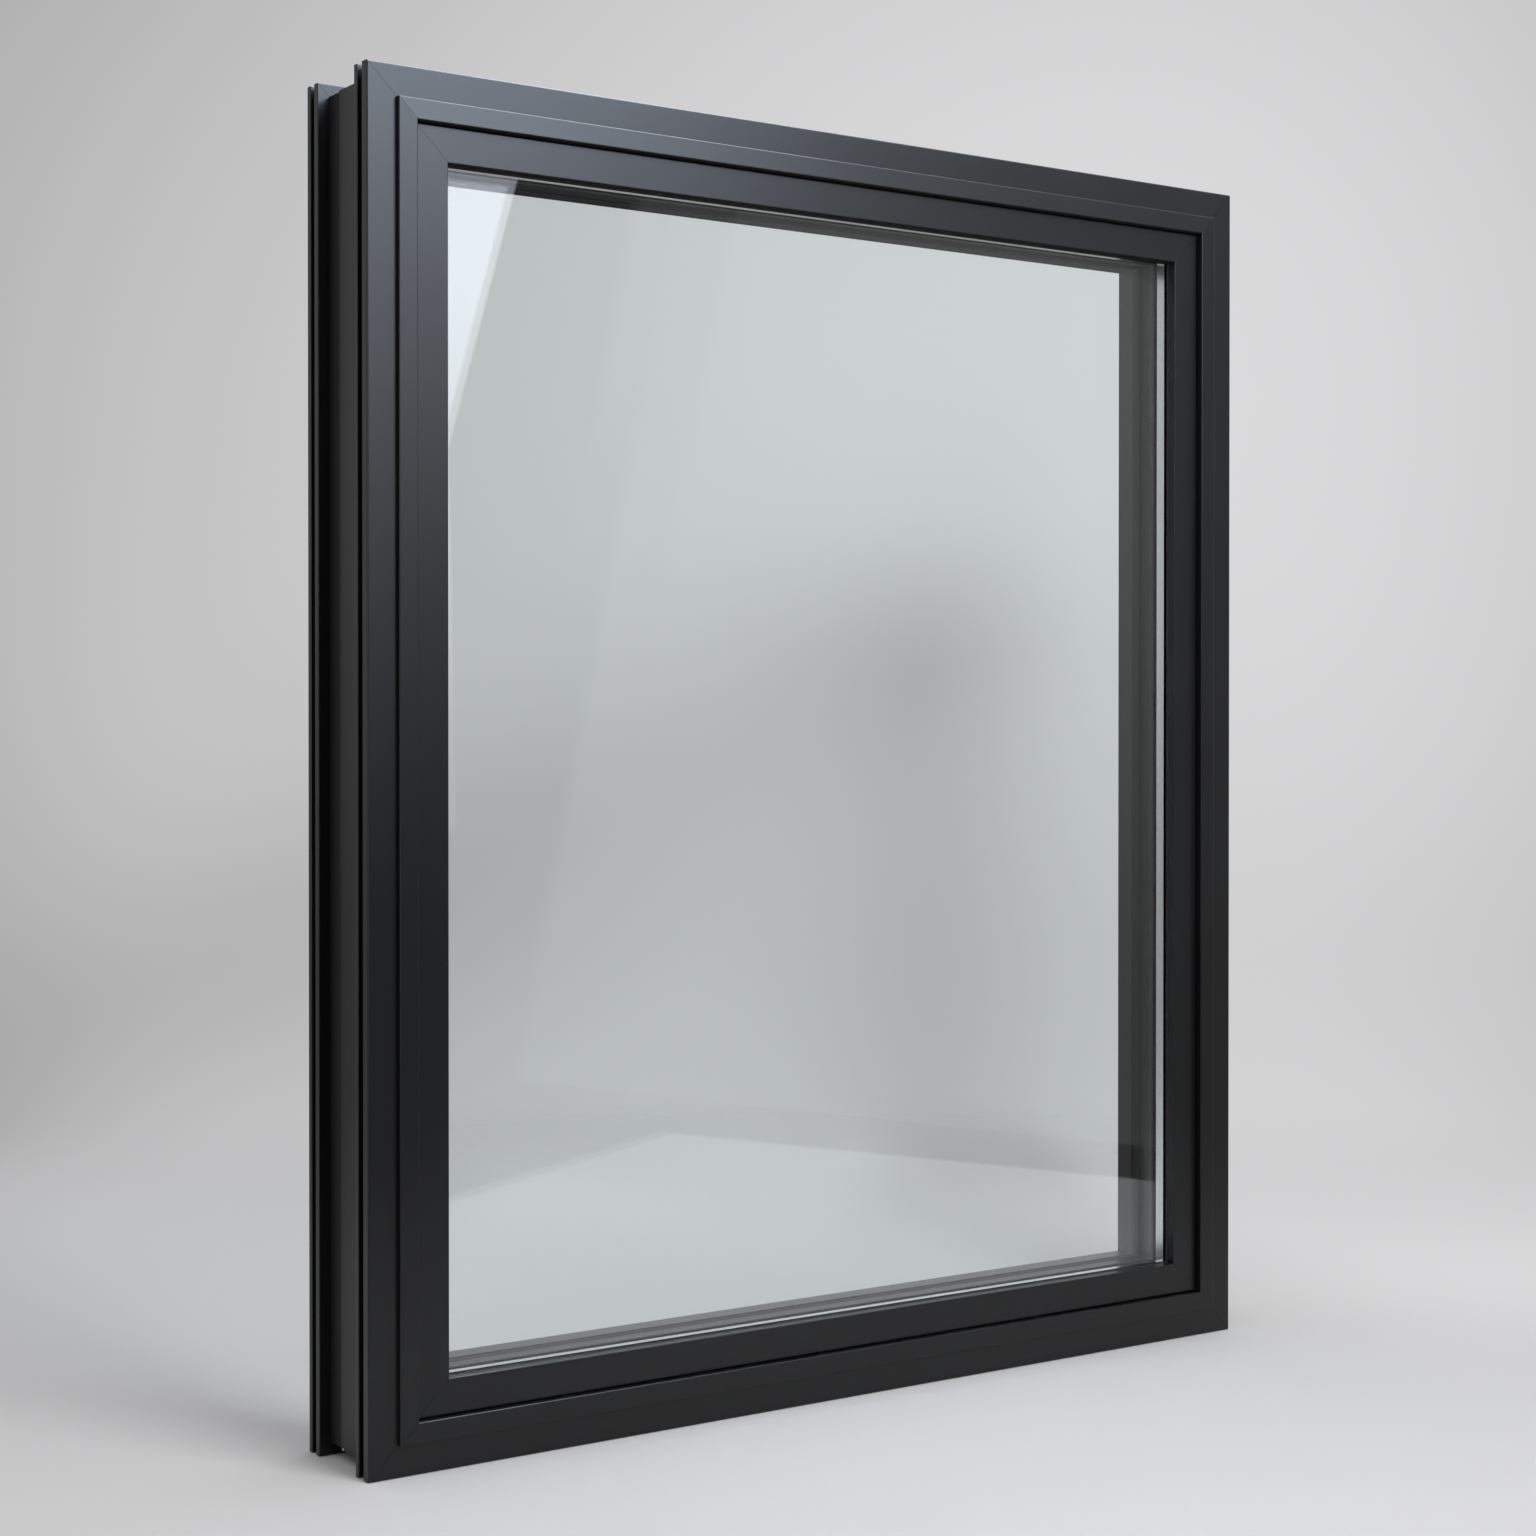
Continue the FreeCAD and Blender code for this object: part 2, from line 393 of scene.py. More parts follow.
@dataclass(frozen=True)
class Rubber(Finish):
    """Extruded rubber: a dull skin with a soft bloom and fine unevenness."""

    roughness: float
    skin: float = 0.6 * MM
    relief: float = 0.03 * MM
    bloom: float = 45.0 * MM
    bloom_gloss: float = 0.2
    bloomed: Span = (0.35, 0.75)
    darkest: float = 0.85
    lightest: float = 1.5

    def material(self) -> bpy.types.Material:
        """The rubber as a material.

        Returns:
            A Principled material with a bloomed, finely uneven skin.
        """
        graph = self.graph()
        place = graph.place()
        skin = graph.noise(place, self.skin)
        bloom = graph.noise(place, self.bloom, detail=4.0)
        pale = bloom.step(*self.bloomed)
        graph.surface(
            graph.principled(
                Base_Color=graph.mix(pale, self.shade(self.darkest), self.shade(self.lightest)),
                Roughness=(bloom - NOISE_MIDDLE) * self.bloom_gloss + self.roughness,
                Normal=graph.bump(skin, self.relief),
            )
        )
        return graph.owner


class Run(Enum):
    """Which way a bar runs, as the place of that axis."""

    ACROSS = 0
    UP = 2


@dataclass(frozen=True)
class SpacerMetal(Finish):
    """Rolled spacer bar: satin aluminium with fine rolling lines and a row of small breather holes."""

    roughness: float
    run: Run
    hole_pitch: float = 3.5 * MM
    hole_radius: float = 0.3 * MM
    hole_rim: Span = (0.8, 1.2)
    hole_shade_colour: Colour = (0.05, 0.05, 0.052)
    middle: float = -31.0 * MM
    line: float = 0.35 * MM
    line_gloss: float = 0.12
    line_share: float = 0.15
    relief: float = 0.05 * MM

    def material(self) -> bpy.types.Material:
        """The bar's metal as a material.

        Returns:
            A metal with one row of holes along the way the bar runs.
        """
        graph = self.graph()
        place = graph.place()
        axes = graph.axes(place)
        lines = graph.noise(place, self.line, detail=1.0)
        from_row = axes[1] - self.middle
        from_hole = axes[self.run.value].wave(self.hole_pitch) * (self.hole_pitch / 2)
        distance = from_hole * from_hole + from_row * from_row
        inner, outer = ((share * self.hole_radius) ** 2 for share in self.hole_rim)
        hole = 1.0 - distance.step(inner, outer)
        graph.surface(
            graph.principled(
                # The dark inside each hole is painted shade.
                Base_Color=graph.mix(hole, self.colour, self.hole_shade_colour),
                Metallic=1.0 - hole,
                Roughness=(lines - NOISE_MIDDLE) * self.line_gloss + self.roughness,
                Normal=graph.bump(lines * self.line_share - hole, self.relief),
            )
        )
        return graph.owner


@dataclass(frozen=True)
class ClearGlass(Finish):
    """Clear float glass: a faint green body and the slight roller wave of a toughened pane."""

    roughness: float = 0.0
    ior: float = 1.52
    roller: float = 260.0 * MM
    roller_height: float = 0.02 * MM
    darkest: float = 0.995
    lightest: float = 1.005
    let_through: Colour = (0.938, 0.952, 0.95)

    def material(self) -> bpy.types.Material:
        """The pane as a material.

        Returns:
            A clear dielectric that lets light through to what stands behind it.
        """
        graph = self.graph()
        roller = graph.noise(graph.place(), self.roller, detail=0.0)
        body = graph.principled(
            Base_Color=graph.mix(roller, self.shade(self.darkest), self.shade(self.lightest)),
            Roughness=self.roughness,
            IOR=self.ior,
            Transmission_Weight=1.0,
            Normal=graph.bump(roller, self.roller_height),
        )
        shadow = graph.node("ShaderNodeLightPath", output="Is Shadow Ray")
        clear = graph.node("ShaderNodeBsdfTransparent", inputs={"Color": (*self.let_through, 1.0)})
        graph.surface(graph.blend(shadow, body, clear))
        return graph.owner


@dataclass(frozen=True)
class PinMetal(Finish):
    """Zinc-plated steel: a pale metal with a fine crystalline sparkle."""

    roughness: float
    crystal: float = 0.5 * MM
    crystal_gloss: float = 0.15
    darkest: float = 0.8

    def material(self) -> bpy.types.Material:
        """The plated steel as a material.

        Returns:
            A metal with small changes of gloss from crystal to crystal.
        """
        graph = self.graph()
        inputs = {"Vector": graph.place(), "Scale": 1 / self.crystal}
        crystals = graph.node("ShaderNodeTexVoronoi", inputs=inputs, output="Color")
        tone, _, _ = graph.axes(crystals)
        graph.surface(
            graph.principled(
                Base_Color=graph.mix(tone, self.shade(self.darkest), self.colour),
                Metallic=1.0,
                Roughness=tone * self.crystal_gloss + self.roughness,
            )
        )
        return graph.owner


@dataclass(frozen=True)
class MirroredLight(Finish):
    """The glow of a card that only reflections show, like a lit panel or a bare floor beside the camera."""

    foot_share: float = 1.0
    brightens: Span = (0.0, 1.0)

    def material(self) -> bpy.types.Material:
        """The card as a material.

        Returns:
            A glow for rays that something has mirrored, dimmer at the foot, and nothing for all others.
        """
        graph = self.graph()
        _, _, height = graph.axes(graph.place())
        bright = height.step(*self.brightens)
        colour = graph.mix(bright, self.shade(self.foot_share), self.colour)
        glow = graph.node("ShaderNodeEmission", inputs={"Color": colour})
        clear = graph.node("ShaderNodeBsdfTransparent")
        graph.surface(graph.blend(graph.mirrored(), clear, glow))
        graph.owner.cycles.emission_sampling = "NONE"
        return graph.owner


@dataclass(frozen=True)
class StudioPaper(Finish):
    """Matt studio paper: pale, faintly fibrous, and fading into the backdrop far from the window.

    Its colour carries painted light: it is lighter on the right and behind the window, with a painted
    glow in one patch beside a painted streak of the window's soft shadow. Patch and streak lie along the
    way that the shadow falls.
    """

    roughness: float
    near: float = 1.0
    far: float = 2.1
    front_end: Span = (-0.2, 0.3)
    fibre: float = 1.5 * MM
    fibre_lift: float = 0.07
    darkest: float = 0.99
    lightest: float = 1.25
    right_start: Span = (0.42, 1.0)
    right_depth: Span = (-0.6, 0.0)
    right_painted_light: float = 0.93
    back_start: Span = (-0.7, -0.2)
    back_end: Span = (0.3, 0.7)
    back_depth: Span = (-0.1, 0.6)
    back_painted_light: float = 0.38
    shadow_way: tuple[float, float] = (0.564, 0.826)
    glow_start: Span = (0.5, 1.15)
    glow_end: Span = (1.4, 1.75)
    glow_left: Span = (-0.56, -0.36)
    glow_right: Span = (0.0, 0.16)
    glow_painted_light: float = 0.48
    streak_start: Span = (0.75, 1.35)
    streak_left: Span = (0.06, 0.24)
    streak_right: Span = (0.34, 0.46)
    shadow_streak_drop: float = 0.96

    def material(self) -> bpy.types.Material:
        """The paper as a material.

        Returns:
            A diffuse floor that thins out to nothing far away, but stays whole in front for mirrors.
        """
        graph = self.graph()
        place = graph.place()
        across, depth, _ = graph.axes(place)
        stays = graph.mirrored() * (1.0 - depth.step(*self.front_end))
        away = (across * across + depth * depth).step(self.near**2, self.far**2)
        # The paper's colour carries painted light and a painted shadow streak, as well as its real fibre.
        painted_light_and_fibre = self._painted_light(across, depth) + graph.noise(place, self.fibre) * self.fibre_lift
        paper = graph.principled(
            Base_Color=graph.mix(painted_light_and_fibre, self.shade(self.darkest), self.shade(self.lightest)),
            Roughness=self.roughness,
            Specular_IOR_Level=0.0,
        )
        clear = graph.node("ShaderNodeBsdfTransparent")
        graph.surface(graph.blend(away * (1.0 - stays), paper, clear))
        return graph.owner

    def _painted_light(self, across: Value, depth: Value) -> Value:
        """The painted light and painted shadow on the paper, from place to place.

        Args:
            across: how far to the right, in metres.
            depth: how far back, in metres.

        Returns:
            0 where the paper's colour is darkest, 1 where painted light makes it lightest.
        """
        way_across, way_back = self.shadow_way
        along = across * way_across + depth * way_back
        beside = across * way_back - depth * way_across
        # Painted light on the right, behind the window and in one patch, less a painted streak of the
        # window's shadow.
        right = across.step(*self.right_start) * depth.step(*self.right_depth)
        back = across.band(self.back_start, self.back_end) * depth.step(*self.back_depth)
        glow = along.band(self.glow_start, self.glow_end) * beside.band(self.glow_left, self.glow_right)
        streak = along.step(*self.streak_start) * beside.band(self.streak_left, self.streak_right)
        lighter = right * self.right_painted_light + back * self.back_painted_light + glow * self.glow_painted_light
        return lighter - streak * self.shadow_streak_drop


def grid_faces(rows: int, columns: int, close_rows: bool, close_columns: bool) -> np.ndarray:
    """The quads of a grid of points, counted along its rows.

    Args:
        rows: how many rows of points there are.
        columns: how many points are in a row.
        close_rows: whether the last row joins the first.
        close_columns: whether each row is a ring.

    Returns:
        One line of four point numbers for each quad.
    """
    row = np.arange(rows if close_rows else rows - 1)[:, None]
    column = np.arange(columns if close_columns else columns - 1)[None, :]
    next_row = (row + 1) % rows
    next_column = (column + 1) % columns
    corners = (
        row * columns + column,
        row * columns + next_column,
        next_row * columns + next_column,
        next_row * columns + column,
    )
    return np.stack([np.broadcast_to(c, (row.size, column.size)).ravel() for c in corners], axis=1)


def mesh_object(
    name: str, points: np.ndarray, faces: np.ndarray, material: bpy.types.Material, crease: float
) -> bpy.types.Object:
    """Puts points and faces into the scene.

    Args:
        name: the object's name.
        points: one line of three metres for each point.
        faces: the point numbers of each face.
        material: what it is made of.
        crease: edges sharper than this, in degrees, stay sharp.

    Returns:
        The new object, at the origin.
    """
    mesh = bpy.data.meshes.new(name)
    mesh.from_pydata(points.reshape(-1, 3).tolist(), [], faces.tolist())
    mesh.materials.append(material)
    mesh.shade_smooth()
    mesh.set_sharp_from_angle(angle=math.radians(crease))
    made = bpy.data.objects.new(name, mesh)
    bpy.context.scene.collection.objects.link(made)
    return made


def fitted(piece: bpy.types.Object) -> None:
    """Fixes a piece to the window and logs how many faces it has.

    Args:
        piece: the new piece.
    """
    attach(piece, "root")
    log.info("%s: %d faces", piece.name, len(piece.data.polygons))


def dress(nodes: Sequence[str], material: bpy.types.Material) -> None:
    """Gives solids of the window their finish.

    Args:
        nodes: the solids' names.
        material: what they are made of.
    """
    for name in nodes:
        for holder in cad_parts[name].material_slots:
            holder.material = material
        log.info("%s: %s", name, material.name)


def on_every_side(part: str) -> list[str]:
    """The names of one profile's four lengths."""
    return [f"{side.value}_{part}" for side in Side]


@dataclass
class OuterFrame:
    """The frame that is fixed in the wall: two metal halves, the strip between them and the corner pins."""

    coat: bpy.types.Material
    strip: bpy.types.Material
    pin_metal: bpy.types.Material
    channel_depth: float = 10.0 * MM
    pin_radius: float = 1.5 * MM
    pin_crown: float = 0.8 * MM
    pin_depth: float = 13.7 * MM
    pin_from_end: float = 10.5 * MM
    pin_sink: float = 0.4 * MM
    pin_rings: int = 9
    pin_sides: int = 24
    pin_crease: float = 40.0
    dimple: float = 0.3
    dimple_width: float = 0.25
    rim_power: int = 8

    def build(self) -> None:
        """Dresses the frame and sets its corner pins."""
        dress(on_every_side("frame_front") + on_every_side("frame_rear"), self.coat)
        dress(on_every_side("frame_thermal_break"), self.strip)
        self._pin(Side.LEFT, -1.0)
        self._pin(Side.RIGHT, 1.0)

    def _pin(self, side: Side, outwards: float) -> None:
        """The domed pin that holds a lower corner's cleat, in the floor of one jamb's fixing channel.

        A pin is a dome: its height over the floor is the crown times one less the square of the share of
        the radius, with a small dimple in the middle and a rim that sinks into the floor.

        Args:
            side: the jamb.
            outwards: -1 where the channel faces left, 1 where it faces right.
        """
        low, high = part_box(f"{side.value}_frame_front")
        floor = (low.x if outwards < 0 else high.x) - outwards * self.channel_depth
        share = np.linspace(0.0, 1.0, self.pin_rings)[:, None]
        turn = np.linspace(0.0, 2 * np.pi, self.pin_sides, endpoint=False)[None, :] * outwards
        hollow = self.dimple * self.pin_crown * np.exp(-((share / self.dimple_width) ** 2))
        crown = self.pin_crown * (1 - share**2) - hollow
        dome = np.stack(
            np.broadcast_arrays(
                floor + outwards * (crown - self.pin_sink * share**self.rim_power),
                self.pin_depth + self.pin_radius * share * np.cos(turn),
                low.z + self.pin_from_end + self.pin_radius * share * np.sin(turn),
            ),
            axis=-1,
        )
        faces = grid_faces(self.pin_rings, self.pin_sides, False, True)
        pin = mesh_object(f"{side.value}_corner_pin", dome, faces, self.pin_metal, self.pin_crease)
        fitted(pin)


@dataclass
class FixedSash:
    """The sash that doesn't open: two metal halves, the strip between them and the glazing bead."""

    coat: bpy.types.Material
    band_coat: bpy.types.Material
    shaded_soffit_coat: bpy.types.Material
    strip: bpy.types.Material
    shaded_soffit_strip: bpy.types.Material

    def build(self) -> None:
        """Dresses the sash and its bead; the head's pieces have finishes of their own: a band coat whose
        shading leans, and copies of the coat and strip with weaker reflections on the rear half and strip,
        as painted shade.
        """
        for part in ("sash_front", "sash_rear", "glazing_bead"):
            dress(on_every_side(part), self.coat)
        dress(on_every_side("sash_thermal_break"), self.strip)
        dress(["head_sash_front"], self.band_coat)
        # The head's rear half and strip get copies with weaker reflections: painted shade under the head.
        dress(["head_sash_rear"], self.shaded_soffit_coat)
        dress(["head_sash_thermal_break"], self.shaded_soffit_strip)


@dataclass
class GlassUnit:
    """The double-glazed unit, with the rubber that holds it and the seals round its edge."""

    glass: bpy.types.Material
    level_spacer: bpy.types.Material
    upright_spacer: bpy.types.Material
    rubber: bpy.types.Material
    sealant: bpy.types.Material
    block: bpy.types.Material
    lip: float = 0.7 * MM
    lip_points: int = 9
    butyl: float = 0.6 * MM
    butyl_points: int = 5
    ring_crease: float = 50.0

    def build(self) -> None:
        """Dresses the unit and adds the lips and seal lines."""
        dress(["front_pane", "rear_pane"], self.glass)
        dress(["head_glass_spacer", "sill_glass_spacer"], self.level_spacer)
        dress(["left_jamb_glass_spacer", "right_jamb_glass_spacer"], self.upright_spacer)
        dress(on_every_side("front_gasket") + on_every_side("rear_gasket"), self.rubber)
        dress(["edge_seal"], self.sealant)
        dress(["left_setting_block", "right_setting_block"], self.block)
        self._lip("front_gasket")
        self._lip("rear_gasket")
        self._butyl_lines()

    def _lip(self, part: str) -> None:
        """The soft lip of a gasket, standing a little past the metal: half an ellipse run round the glass.

        Args:
            part: the gasket's part name.
        """
        low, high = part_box(f"sill_{part}")
        turn = np.linspace(-np.pi / 2, np.pi / 2, self.lip_points)
        inwards = np.concatenate([self.lip * np.cos(turn), [-self.lip, -self.lip]])
        half = (high.y - low.y) / 2
        depth = np.concatenate([(low.y + high.y) / 2 + half * np.sin(turn), [high.y, low.y]])
        lip = self._ring(f"{part}_lip", inwards + high.z, depth, self.rubber)
        fitted(lip)

    def _butyl_lines(self) -> None:
        """The dark seal that shows as a thin fillet between each pane and the spacer bar.

        A fillet is a hollow quarter circle from the pane to the bar, closed by two straight sides behind.
        """
        low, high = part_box("sill_glass_spacer")
        turn = np.linspace(0.0, np.pi / 2, self.butyl_points)
        rise = np.concatenate([self.butyl * (1 - np.sin(turn)), [-self.butyl, -self.butyl]])
        reach = np.concatenate([self.butyl * (1 - np.cos(turn)), [self.butyl, 0.0]])
        for name, wall, way in (("front", low.y, 1.0), ("rear", high.y, -1.0)):
            line = self._ring(f"{name}_butyl_line", rise + high.z, wall + way * reach, self.sealant)
            fitted(line)

    def _ring(
        self, name: str, inset: np.ndarray, depth: np.ndarray, material: bpy.types.Material
    ) -> bpy.types.Object:
        """A closed section run round the window with mitred corners.

        Each point of the section becomes a rectangle, as far in from the outer edge as its inset.

        Args:
            name: the piece's name.
            inset: how far in from the outer edge each point of the section is.
            depth: how far back each point is.
            material: what it is made of.

        Returns:
            The ring.
        """
        low, high = cad_box
        left, right = low.x + inset, high.x - inset
        foot, top = low.z + inset, high.z - inset
        rectangle = ((left, foot), (right, foot), (right, top), (left, top))
        corners = np.stack([np.stack([across, depth, height], axis=-1) for across, height in rectangle])
        faces = grid_faces(len(rectangle), inset.size, True, True)
        return mesh_object(name, corners, faces, material, self.ring_crease)


@dataclass(frozen=True)
class Card:
    """A flat card that only reflections show: a corner, the two edges that leave it and its light."""

    corner: np.ndarray
    along: np.ndarray
    up: np.ndarray
    light: MirroredLight
    points: int = 5
    crease: float = 60.0

    def build(self) -> None:
        """Puts the card into the scene, named for its light: its corner plus a share of each edge."""
        share = np.linspace(0.0, 1.0, self.points)
        grid = self.corner + share[:, None, None] * self.along + share[None, :, None] * self.up
        faces = grid_faces(self.points, self.points, False, False)
        card = mesh_object(self.light.name, grid, faces, self.light.material(), self.crease)
        card.visible_shadow = False
        card.visible_diffuse = False
        log.info("%s: shows in reflections", self.light.name)


@dataclass
class Softbox:
    """The main light, in front and above: a lamp, and the cards that mirrors show in its place."""

    edge: Point = (0.771, -2.342, 1.171)
    up: Point = (0.014, 0.448, 0.894)
    left: Point = (-0.98, -0.18, 0.10)
    rim_drop: float = 0.013
    rim_inset: float = 0.0075
    rim_width: float = 0.813
    rim_height: float = 0.575
    rim_slant: float = 0.012
    outer_shift: float = 0.004
    outer_forward: Point = (0.0, 0.02, -0.01)
    outer_slant: float = 0.25
    outer_width: float = 0.8
    skirt_height: float = 0.787
    middle_rise: float = 0.572
    middle_inset: float = 0.36
    middle_width: float = 2.0
    middle_height: float = 1.48
    strip_corner: Point = (0.3, -3.0, 3.2)
    strip_width: float = 1.05
    strip_length: float = 3.8
    lamp_width: float = 0.7
    lamp_height: float = 0.9
    lamp_power: float = 18.0
    lamp_place: Point = (-0.12, -1.2, 1.45)
    lamp_aim: Point = (0.05, 0.95, -0.3)

    def build(self) -> None:
        """Sets up the cards and the lamp."""
        for card in (*self._rims(), *self._bright_panels()):
            card.build()
        self._lamp()

    def _rims(self) -> list[Card]:
        """The softbox's dim lower rim, one beside it that slants outwards, and the dark skirt below.

        Returns:
            The three cards.
        """
        up = np.array(self.up)
        left = np.array(self.left)
        lower_edge = np.array(self.edge) - up * self.rim_drop
        rim_corner = lower_edge - left * self.rim_inset
        rim_up = up * self.rim_height - left * self.rim_slant
        slanted = up + left * self.outer_slant
        outer_corner = lower_edge + left * self.outer_shift + np.array(self.outer_forward)
        outer_along = left * self.outer_width
        skirt_up = slanted * self.skirt_height
        rim = MirroredLight("softbox_rim", (2.15, 2.25, 2.5), foot_share=0.76, brightens=(1.18, 1.48))
        outer = MirroredLight("softbox_outer_rim", (3.8, 3.9, 4.25), foot_share=0.72, brightens=(1.16, 1.45))
        skirt = MirroredLight("softbox_skirt", (2.5, 2.55, 2.8), foot_share=0.14, brightens=(0.6, 1.25))
        return [
            Card(rim_corner, left * self.rim_width, rim_up, rim),
            Card(outer_corner, outer_along, slanted * self.rim_height, outer),
            Card(outer_corner - skirt_up, outer_along, skirt_up, skirt),
        ]

    def _bright_panels(self) -> list[Card]:
        """The softbox's bright middle, above its rim, and a strip overhead.

        Returns:
            The two cards.
        """
        up = np.array(self.up)
        left = np.array(self.left)
        middle_corner = np.array(self.edge) + up * self.middle_rise - left * self.middle_inset
        strip_along = np.array([self.strip_width, 0.0, 0.0])
        strip_back = np.array([0.0, self.strip_length, 0.0])
        middle = MirroredLight("softbox_middle", (8.7, 9.9, 11.8))
        strip = MirroredLight("softbox_strip", (15.5, 16.3, 18.0))
        return [
            Card(middle_corner, left * self.middle_width, up * self.middle_height, middle),
            Card(np.array(self.strip_corner), strip_along, strip_back, strip),
        ]

    def _lamp(self) -> None:
        """The lamp, which lights the window and casts its shadow but shows nowhere itself."""
        lamp = bpy.data.lights.new("softbox", "AREA")
        lamp.shape = "RECTANGLE"
        lamp.size = self.lamp_width
        lamp.size_y = self.lamp_height
        lamp.energy = self.lamp_power
        holder = bpy.data.objects.new("softbox", lamp)
        turned = Vector(self.lamp_aim).normalized().to_track_quat("-Z", "Y").to_matrix().to_4x4()
        holder.matrix_world = Matrix.Translation(self.lamp_place) @ turned
        holder.visible_camera = False
        holder.visible_glossy = False
        holder.visible_transmission = False
        bpy.context.scene.collection.objects.link(holder)


@dataclass
class MirroredRoom:
    """What else mirrors show: a pale board on the right, the bare floor in front and a fill on the left."""

    foot: Point = (0.827, -2.081, 0.0)
    along: Point = (0.3466, 0.938, 0.0)
    board_lean: float = 0.235
    board_height: float = 1.58
    edge_start: float = -0.055
    board_start: float = 0.075
    board_width: float = 1.18
    soft_width: float = 0.09
    soft_rise: float = 0.8
    side_start: float = 1.27
    side_width: float = 2.0
    top_start: float = 0.3
    top_rise: float = 1.6
    top_width: float = 3.0
    top_height: float = 1.0
    floor_corner: Point = (0.715, -1.47, 0.001)
    floor_front: Point = (-0.863, 0.505, 0.0)
    floor_right: Point = (0.408, 0.913, 0.0)
    floor_reach: float = 6.0
    floor_width: float = 14.0
    floor_side: float = 1.5
    fill_corner: Point = (-3.08, -0.86, 0.0)
    fill_along: Point = (0.9, -1.31, 0.0)
    fill_height: float = 2.2

    def build(self) -> None:
        """Sets up every card."""
        for card in (*self._boards(), *self._bare_floor(), self._fill()):
            card.build()

    def _boards(self) -> list[Card]:
        """The pale board, with a shaded and a soft left edge, and the lighter boards above and beside it.

        Returns:
            The five cards.
        """
        foot = np.array(self.foot)
        along = np.array(self.along)
        lean = np.array([0.0, 0.0, 1.0]) + along * self.board_lean
        edge = foot + along * self.edge_start
        up = lean * self.board_height
        edge_along = along * (self.board_start - self.edge_start)
        soft_up = lean * (self.board_height - self.soft_rise)
        top = foot + along * self.top_start + lean * self.top_rise
        board = MirroredLight("bounce_board", grey(0.385), foot_share=0.39, brightens=(0.0, 1.35))
        shaded = MirroredLight("board_shaded_edge", grey(0.28), foot_share=0.53, brightens=(0.0, 0.95))
        soft = MirroredLight("board_edge", grey(0.24), foot_share=0.42, brightens=(0.8, 1.4))
        upper = MirroredLight("board_top", grey(1.1))
        beside = MirroredLight("side_board", grey(0.97), foot_share=0.55, brightens=(0.0, 1.2))
        return [
            Card(foot + along * self.board_start, along * self.board_width, up, board),
            Card(edge, edge_along, up, shaded),
            Card(edge + lean * self.soft_rise, along * -self.soft_width, soft_up, soft),
            Card(top, along * self.top_width, lean * self.top_height, upper),
            Card(foot + along * self.side_start, along * self.side_width, up, beside),
        ]

    def _bare_floor(self) -> list[Card]:
        """The bare floor past the paper's front and right edges.

        Returns:
            The two cards.
        """
        corner = np.array(self.floor_corner)
        front = np.array(self.floor_front)
        right = np.array(self.floor_right)
        bare = (0.05, 0.046, 0.04)
        far_corner = corner - right * self.floor_reach - front * self.floor_reach
        before = MirroredLight("bare_floor_front", bare)
        beside = MirroredLight("bare_floor_right", bare)
        return [
            Card(far_corner, front * self.floor_width, right * self.floor_reach, before),
            Card(corner, right * self.floor_side, front * -self.floor_reach, beside),
        ]

    def _fill(self) -> Card:
        """The upright fill on the left."""
        light = MirroredLight("left_fill", (1.9, 2.0, 2.1))
        up = np.array([0.0, 0.0, self.fill_height])
        return Card(np.array(self.fill_corner), np.array(self.fill_along), up, light)


